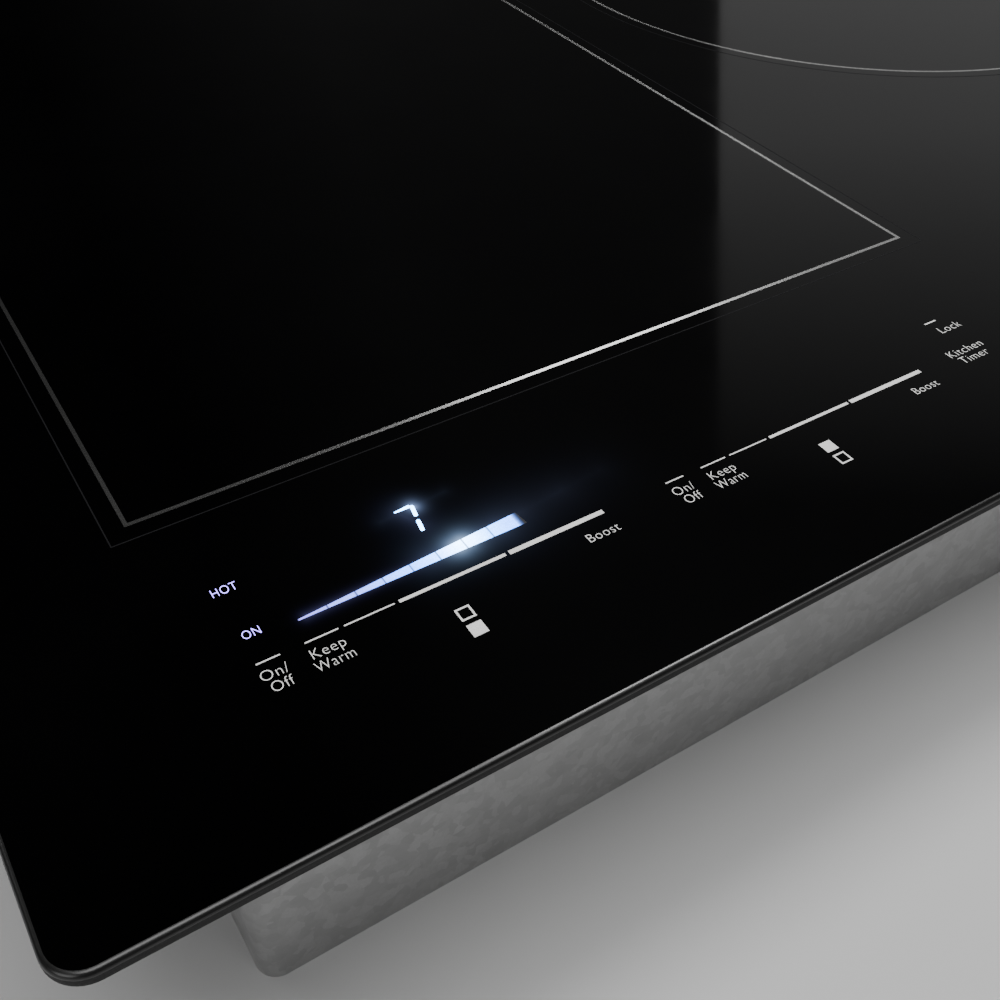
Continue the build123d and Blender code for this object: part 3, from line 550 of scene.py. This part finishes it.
def glass_panel():
    """The pane, with a finely rounded ground edge."""
    mesh = bmesh.new()
    loops = []
    for inset, z in edge_profile():
        outline = rounded(GLASS_LOW.x + inset, GLASS_HIGH.x - inset, GLASS_LOW.y + inset,
                          GLASS_HIGH.y - inset, max(CORNER_R - inset, 2.0))
        loops.append(loop_of(mesh, outline, z))
    last = len(loops) - 2
    for index, (upper, lower) in enumerate(zip(loops, loops[1:])):
        for face in wall(mesh, lower, upper):
            face.material_index = edge_material(index, last)
            face.smooth = True
    mesh.faces.new(loops[0])
    back = mesh.faces.new(list(reversed(loops[-1])))
    back.material_index = 3
    materials = [MATERIALS["glass_ceramic"], GLASS_ROUND, GLASS_SIDE, GLASS_BACK]
    made = piece("glass_panel", mesh, materials)
    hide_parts("glass_top")


# ---------------------------------------------------------------- prints on the glass

def zone_boxes():
    """Left, right, front and rear of the two rectangular zones."""
    rear = ZONE_FRONT + ZONE_L
    return [(left, left + ZONE_W, ZONE_FRONT, rear) for left in (ZONE_LEFT, -ZONE_LEFT - ZONE_W)]


def zone_lines(width, grow):
    """Frames of the three zones, grown outwards by some millimetres."""
    mesh, half = bmesh.new(), width / 2
    for x0, x1, y0, y1 in zone_boxes():
        outer = rectangle(x0 - grow - half, x1 + grow + half, y0 - grow - half, y1 + grow + half)
        inner = rectangle(x0 - grow + half, x1 + grow - half, y0 - grow + half, y1 + grow - half)
        band(mesh, outer, inner, SUNK, PRINT_HIGH)
    y = ZONE_FRONT + ZONE_L / 2
    outer, inner = (circle(0, y, ROUND_R + grow + side) for side in (half, -half))
    band(mesh, outer, inner, SUNK, PRINT_HIGH)
    return mesh


def slider_starts():
    """Left ends of the five sliders."""
    right = -ZONE_LEFT - ZONE_W + SLIDER_START
    return [LIT, LIT + SLIDER_PITCH, -SLIDER_L / 2, right, right + SLIDER_PITCH]


# Start, end and thickness of each dash of a slider
DASHES = [(0.0, 5.2, 0.36), (10.55, 18.05, 0.36), (19.35, 31.05, 0.36), (32.1, 58.4, 0.86),
          (59.3, 84.5, 1.24)]


# Word, offset to the right, baseline below the dashes, cap height and width
SLIDER_WORDS = [("On/", -0.5, 4.8, CAP, 5.8), ("Off", 0.35, 8.2, CAP, 4.7), ("Keep", 10.35, 4.8, CAP, 7.4),
                ("Warm", 9.7, 8.25, CAP, 8.5), ("Boost", 76.4, 6.8, 2.5, 8.4)]


def slider_print(mesh, x):
    """Dashes and words of one slider."""
    for start, end, thick in DASHES:
        outline = rectangle(x + start, x + end, SLIDER_Y - thick / 2, SLIDER_Y + thick / 2)
        prism(mesh, outline, SUNK, PRINT_HIGH)
    for text, right, down, cap, width in SLIDER_WORDS:
        words_into(mesh, text, x + right, SLIDER_Y - down, cap, width)


def icon(mesh, x, filled):
    """Two small squares for rear and front; the filled one is the slider's zone."""
    size, line = 3.53, ICON_LINE
    for index, y in enumerate((SLIDER_Y - 11.66, SLIDER_Y - 16.52)):
        outer = rectangle(x, x + size, y, y + size)
        if index == filled:
            prism(mesh, outer, SUNK, PRINT_HIGH)
        else:
            inner = rectangle(x + line, x + size - line, y + line, y + size - line)
            band(mesh, outer, inner, SUNK, PRINT_HIGH)


def ring_icon(mesh, x):
    """Small ring for the round zone."""
    y = SLIDER_Y - 12.0
    band(mesh, circle(x, y, 2.6, 48), circle(x, y, 2.1, 48), SUNK, PRINT_HIGH)


def key_print(mesh, x, y, word):
    """Short dash of a touch key with its word below."""
    prism(mesh, rectangle(x, x + KEY_L, y, y + ICON_LINE), SUNK, PRINT_HIGH)
    words_into(mesh, word, x + 1.2, y - 5.3)


def control_prints():
    """Everything printed in white along the front of the glass."""
    mesh = bmesh.new()
    starts = slider_starts()
    for x in starts:
        slider_print(mesh, x)
    for x, filled in zip((starts[0], starts[1], starts[3], starts[4]), (1, 0, 1, 0)):
        icon(mesh, x + 40.48, filled)
    ring_icon(mesh, starts[2] + 42.2)
    left_key, right_key = ZONE_LEFT + KEY_X, -ZONE_LEFT - KEY_X - KEY_L
    key_print(mesh, left_key, SLIDER_Y + KEY_RISE, "Lock")
    key_print(mesh, right_key, SLIDER_Y + KEY_RISE, "Timer")
    words_into(mesh, "Kitchen", left_key - 5.6, SLIDER_Y - 0.6)
    words_into(mesh, "Timer", left_key - 4.6, SLIDER_Y - 4.0)
    words_into(mesh, "Power", right_key - 3.0, SLIDER_Y - 0.6)
    return mesh


def lay_prints():
    """The three printed layers."""
    piece("zone_frames", zone_lines(LINE_W, 0.0), [SILVER_INK])
    piece("zone_hairlines", zone_lines(HAIR_W, HAIR_GAP), [HAIR_INK])
    piece("control_prints", control_prints(), [INK])


# ---------------------------------------------------------------- lit controls

def bar_side(x, side):
    """Front (0) or rear (1) edge of the wedge at an offset along the slider."""
    start, slope = ((6.05, -0.003), (6.47, 0.0625))[side]
    return start + (x - BAR_START) * slope


def light_wedge():
    """Eight lit segments of the power bar and the dim start of the next one."""
    mesh = bmesh.new()
    stops = [BAR_START + BAR_STEP * i for i in range(BAR_LIT + 1)] + [BAR_END + BAR_LEAK]
    for x0, x1 in zip(stops, stops[1:]):
        lean = 0.5 if x1 > BAR_END else 0.0
        corners = [(x0, bar_side(x0, 0)), (x1, bar_side(x1, 0)),
                   (x1 - lean, bar_side(x1, 1)), (x0, bar_side(x0, 1))]
        prism(mesh, [lit_place(*corner) for corner in corners], SUNK, LIT_HIGH)
    return mesh


def stadium(start, end, width, tail, steps=6):
    """Anticlockwise outline of a round-ended stroke, whose start may be thinner than its end."""
    a, b = Vector(start), Vector(end)
    angle = math.atan2(b.y - a.y, b.x - a.x)
    points = []
    for centre, turn, radius in ((b, -90, width / 2), (a, 90, width / 2 * tail)):
        for i in range(steps + 1):
            t = angle + math.radians(turn + 180 * i / steps)
            points.append((centre.x + radius * math.cos(t), centre.y + radius * math.sin(t)))
    return points


def light_digit():
    """The lit segments of a slanted seven-segment 7."""
    mesh = bmesh.new()
    strokes = [((44.1, 23.95), (47.6, 24.1), 0.45), ((48.3, 23.7), (47.75, 20.9), 1.0),
               ((47.3, 18.9), (46.75, 16.1), 1.0)]
    for start, end, tail in strokes:
        prism(mesh, stadium(lit_place(*start), lit_place(*end), 0.95, tail), SUNK, LIT_HIGH)
    return mesh


def light_words():
    """Residual heat and on lamps."""
    mesh = bmesh.new()
    words_into(mesh, "HOT", LIT - 0.35, SLIDER_Y + 20.8, 2.35, 5.5, LIT_HIGH)
    words_into(mesh, "ON", LIT + 0.6, SLIDER_Y + 7.0, 2.25, 3.85, LIT_HIGH)
    return mesh


def light_controls():
    """Bar, digit and words that shine through the glass."""
    piece("light_bar_lit", light_wedge(), [LAMP_BAR])
    piece("display_digit_lit", light_digit(), [LAMP_DIGIT])
    piece("lamp_words_lit", light_words(), [LAMP_WORD])


# ---------------------------------------------------------------- screws

HEAD_R, HEAD_H, SHANK_R, SHANK_L = 3.6, 2.2, 1.9, 3.6
RECESS_R, RECESS_SLOT = 1.9, 0.45
THREAD_ROOT, THREAD_CREST, THREAD_STEP = 2.45, 2.98, 0.125
SCREW_SIDES = 32
BOLT_HEAD_H, ACROSS_FLATS = 5.0, 11.0


def lathe(mesh, profile, place, sides=16):
    """Surface turned from (radius, height) points, on a 4x4 placement."""
    loops = []
    for radius, height in profile:
        ring = []
        for i in range(sides):
            a = 2 * math.pi * i / sides
            spot = place @ Vector((radius * math.cos(a), radius * math.sin(a), height))
            ring.append(mesh.verts.new(spot * MM))
        loops.append(ring)
    for low, high in zip(loops, loops[1:]):
        for face in wall(mesh, low, high):
            face.smooth = True
    mesh.faces.new(list(reversed(loops[0])))
    mesh.faces.new(loops[-1])


def recess(a):
    """Distance from the axis to the wall of a cross recess in one direction."""
    long, short = max(abs(math.cos(a)), abs(math.sin(a))), min(abs(math.cos(a)), abs(math.sin(a)))
    return min(RECESS_R / long, RECESS_SLOT / short) if short > 0.25 else RECESS_R


def cross_recess_head(mesh, place, sides=48):
    """Pan head: a domed rim that falls into a cross-shaped recess."""
    angles = [2 * math.pi * i / sides for i in range(sides)]
    dome = [(1.0, 0.0), (1.0, 0.5), (0.96, 0.75), (0.86, 0.92), (0.70, 1.0)]
    loops = [[(HEAD_R * share, level * HEAD_H)] * sides for share, level in dome]
    loops.append([(recess(a), HEAD_H) for a in angles])
    loops.append([(recess(a) * 0.75, HEAD_H - 1.1) for a in angles])
    made = []
    for ring in loops:
        made.append([mesh.verts.new((place @ Vector((r * math.cos(a), r * math.sin(a), z))) * MM)
                     for a, (r, z) in zip(angles, ring)])
    for index, (low, high) in enumerate(zip(made, made[1:])):
        for face in wall(mesh, low, high):
            face.smooth = index < len(dome) - 1
    mesh.faces.new(made[-1])
    mesh.faces.new(list(reversed(made[0])))


def facing(point, outward):
    """Placement with its Z axis outwards."""
    turn = Vector(outward).to_track_quat("Z", "Y").to_matrix().to_4x4()
    return Matrix.Translation(point) @ turn


def screw_spots():
    """Points and outward directions of the frame's and brackets' screws."""
    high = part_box("support_frame")[1] / MM
    sheet, flange = 1.2, 9.0
    x_side, y_side, z = high.x - flange, high.y - flange, high.z - sheet - 8.0
    spots = [((x, s * y_side, z), (0, s, 0)) for x in (-280, 0, 280) for s in (-1, 1)]
    spots += [((s * x_side, y, z), (s, 0, 0)) for y in (-120, 120) for s in (-1, 1)]
    box_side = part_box("burner_box")[1].x / MM + 2.0      # over the bracket's plate
    return spots + [((s * box_side, y, 40), (s, 0, 0)) for s in (-1, 1) for y in (-9, 9)]


def case_screws():
    """Pan-head screws with cross recesses, in place of the plain ones."""
    mesh = bmesh.new()
    for point, outward in screw_spots():
        place = facing(point, outward)
        cross_recess_head(mesh, place)
        lathe(mesh, [(SHANK_R, -SHANK_L), (SHANK_R, -0.02)], place)
    made = piece("case_screws", mesh, [MATERIALS["screw_steel"]])
    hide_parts("box_screws")


def thread_height(phase):
    """Height of the thread over its root at a phase of one pitch."""
    rise = 1 - abs(2 * (phase % 1.0) - 1)
    return (THREAD_CREST - THREAD_ROOT) * min(1.0, max(0.0, rise * 1.35 - 0.15))


def hold_down_screw(side):
    """Hexagon screw with a right-hand thread of 1 mm pitch."""
    node = f"clamp_screw_{side}"
    low, high = (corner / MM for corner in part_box(node))
    axis = (low + high) / 2
    mesh = bmesh.new()
    start, end = low.z + BOLT_HEAD_H, high.z - 1.2
    angles = [2 * math.pi * i / SCREW_SIDES for i in range(SCREW_SIDES)]
    grid = []
    for row in range(int((end - start) / THREAD_STEP) + 1):
        z = start + THREAD_STEP * row
        fade = max(0.0, min(1.0, (end - z) / 2.5, (z - start) / 1.5))
        radii = [THREAD_ROOT + thread_height(z - a / (2 * math.pi)) * fade for a in angles]
        outline = [(axis.x + r * math.cos(a), axis.y + r * math.sin(a)) for r, a in zip(radii, angles)]
        grid.append(loop_of(mesh, outline, z))
    for lower, upper in zip(grid, grid[1:]):
        for face in wall(mesh, lower, upper):
            face.smooth = True
    tip = loop_of(mesh, circle(axis.x, axis.y, 1.6, SCREW_SIDES), high.z)
    wall(mesh, grid[-1], tip)
    mesh.faces.new(tip)
    mesh.faces.new(list(reversed(grid[0])))
    hexagon_head(mesh, axis, low.z)
    made = piece(f"hold_down_screw_{side}", mesh, [MATERIALS["screw_steel"]], node)
    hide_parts(node)


def hexagon_head(mesh, axis, z):
    """Hexagon head with chamfered edges; two of its corners lie on the X axis."""
    corner, top = ACROSS_FLATS / math.sqrt(3), z + BOLT_HEAD_H
    rows = ((corner * 0.9, z), (corner, z + 0.6), (corner, top - 0.5), (corner * 0.93, top))
    loops = [loop_of(mesh, circle(axis.x, axis.y, radius, 6), level) for radius, level in rows]
    for low, high in zip(loops, loops[1:]):
        wall(mesh, low, high)
    mesh.faces.new(list(reversed(loops[0])))
    mesh.faces.new(loops[-1])


# ---------------------------------------------------------------- stage

def studio_floor():
    """Plain pale floor."""
    mesh = bmesh.new()
    prism(mesh, rectangle(-6000, 6000, -6000, 6000), -20.0, -0.02)
    data = bpy.data.meshes.new("floor")
    mesh.to_mesh(data)
    mesh.free()
    made, tree, shader = new_material("floor_paint", Roughness=0.6, Specular_IOR_Level=0.2)
    slow = noise(tree, places(tree), 3.0)
    connect(tree, shader, Base_Color=ramp(tree, slow, (0.3, grey(0.50)), (0.7, grey(0.53))))
    data.materials.append(made)
    floor = bpy.data.objects.new("floor", data)
    bpy.context.scene.collection.objects.link(floor)


def soft_light(name, place, target, size, power, only=()):
    """Rectangular soft light aimed at a target; it may light only some pieces."""
    data = bpy.data.lights.new(name, "AREA")
    data.shape, data.size, data.size_y, data.energy = "RECTANGLE", size[0], size[1], power
    light = bpy.data.objects.new(name, data)
    light.visible_camera = False
    bpy.context.scene.collection.objects.link(light)
    light.location = place
    light.rotation_euler = (Vector(target) - Vector(place)).to_track_quat("-Z", "Y").to_euler()
    if only:
        group = bpy.data.collections.new(name + "_receivers")
        for receiver in only:
            group.objects.link(bpy.data.objects[receiver])
        light.light_linking.receiver_collection = group
    return light


def fading_panel():
    """Tall soft panel behind the right of the glass, dimmer towards its top.

    Its left edge runs through the point called edge, which lines up with the reflection's border.
    """
    out = Vector((0.63, 0.51, 0.58)).normalized()
    side = Vector((-0.30, -0.53, 0.79)).cross(out).normalized()
    up = out.cross(side)
    width, height, edge = 0.9, 1.4, Vector((1.022, 1.027, 1.415))
    panel = soft_light("rear_panel", (0, 0, 0), (0, 0, -1), (width, height), 1.08)
    middle = edge - side * width / 2 - up * 0.25
    panel.matrix_world = Matrix.Translation(middle) @ Matrix((side, up, out)).transposed().to_4x4()
    data = panel.data
    data.use_nodes = True
    tree = data.node_tree
    spot = add_node(tree, "NewGeometry").outputs["Position"]
    height_on_panel = vector_maths(tree, "DOT_PRODUCT", spot, tuple(up), output="Value")
    zero = edge.dot(up)
    fade = spread(tree, height_on_panel, 1.0, 0.0, zero - 0.5, zero + 0.25)
    tree.links.new(fade, tree.nodes["Emission"].inputs["Strength"])


def studio_light():
    """Dim surroundings, soft lights above and round the object, and a glint on the printed frames."""
    world = bpy.data.worlds.new("studio")
    world.use_nodes = True
    tree = world.node_tree
    direction = add_node(tree, "TexCoord").outputs["Generated"]
    x = add_node(tree, "SeparateXYZ", {"Vector": direction}).outputs["X"]
    level = spread(tree, x, 0.004, 0.036, 0.17, 0.38)
    tree.links.new(level, tree.nodes["Background"].inputs["Strength"])
    tree.nodes["Background"].inputs["Color"].default_value = (1.0, 1.0, 1.0, 1.0)
    bpy.context.scene.world = world
    soft_light("overhead", (-0.35, -0.55, 1.75), (-0.1, 0, 0.1), (1.3, 1.0), 24.0)
    soft_light("right_above", (0.60, 0.0, 1.85), (-0.33, -0.27, 0.1), (0.5, 0.5), 26.0)
    soft_light("fill_left", (-1.9, -0.9, 0.9), (0, 0, 0.1), (1.0, 1.0), 8.0)
    soft_light("fill_back", (-1.7, 1.9, 1.2), (0, 0, 0.1), (1.2, 0.8), 9.0)
    soft_light("frame_glint", (0.72, 1.08, 1.32), (-0.3, -0.175, 0.1), (0.42, 0.35), 2.2, ["zone_frames"])
    fading_panel()


def photo_camera():
    """Camera close above the front left controls, as the photograph was taken."""
    yaw, pitch, roll = (math.radians(angle) for angle in (33.28, 43.21, 1.4425))
    ahead = Vector((math.sin(yaw) * math.cos(pitch), math.cos(yaw) * math.cos(pitch), -math.sin(pitch)))
    level = Vector((math.cos(yaw), -math.sin(yaw), 0.0))
    upright = level.cross(ahead)
    right = math.cos(roll) * level + math.sin(roll) * upright
    up = math.cos(roll) * upright - math.sin(roll) * level
    data = bpy.data.cameras.new("camera")
    data.lens, data.sensor_width, data.clip_start = 41.535, 36.0, 0.01
    camera = bpy.data.objects.new("camera", data)
    turn = Matrix((right, up, -ahead)).transposed().to_4x4()
    spot = Vector((GLASS_LOW.x + 14.9, GLASS_LOW.y - 101.3, TOP + 180.2)) * MM
    camera.matrix_world = Matrix.Translation(spot) @ turn
    bpy.context.scene.collection.objects.link(camera)
    bpy.context.scene.camera = camera


finish_cad_nodes()
glass_panel()
lay_prints()
light_controls()
case_screws()
for hand in ("left", "right"):
    hold_down_screw(hand)
studio_floor()
studio_light()
photo_camera()
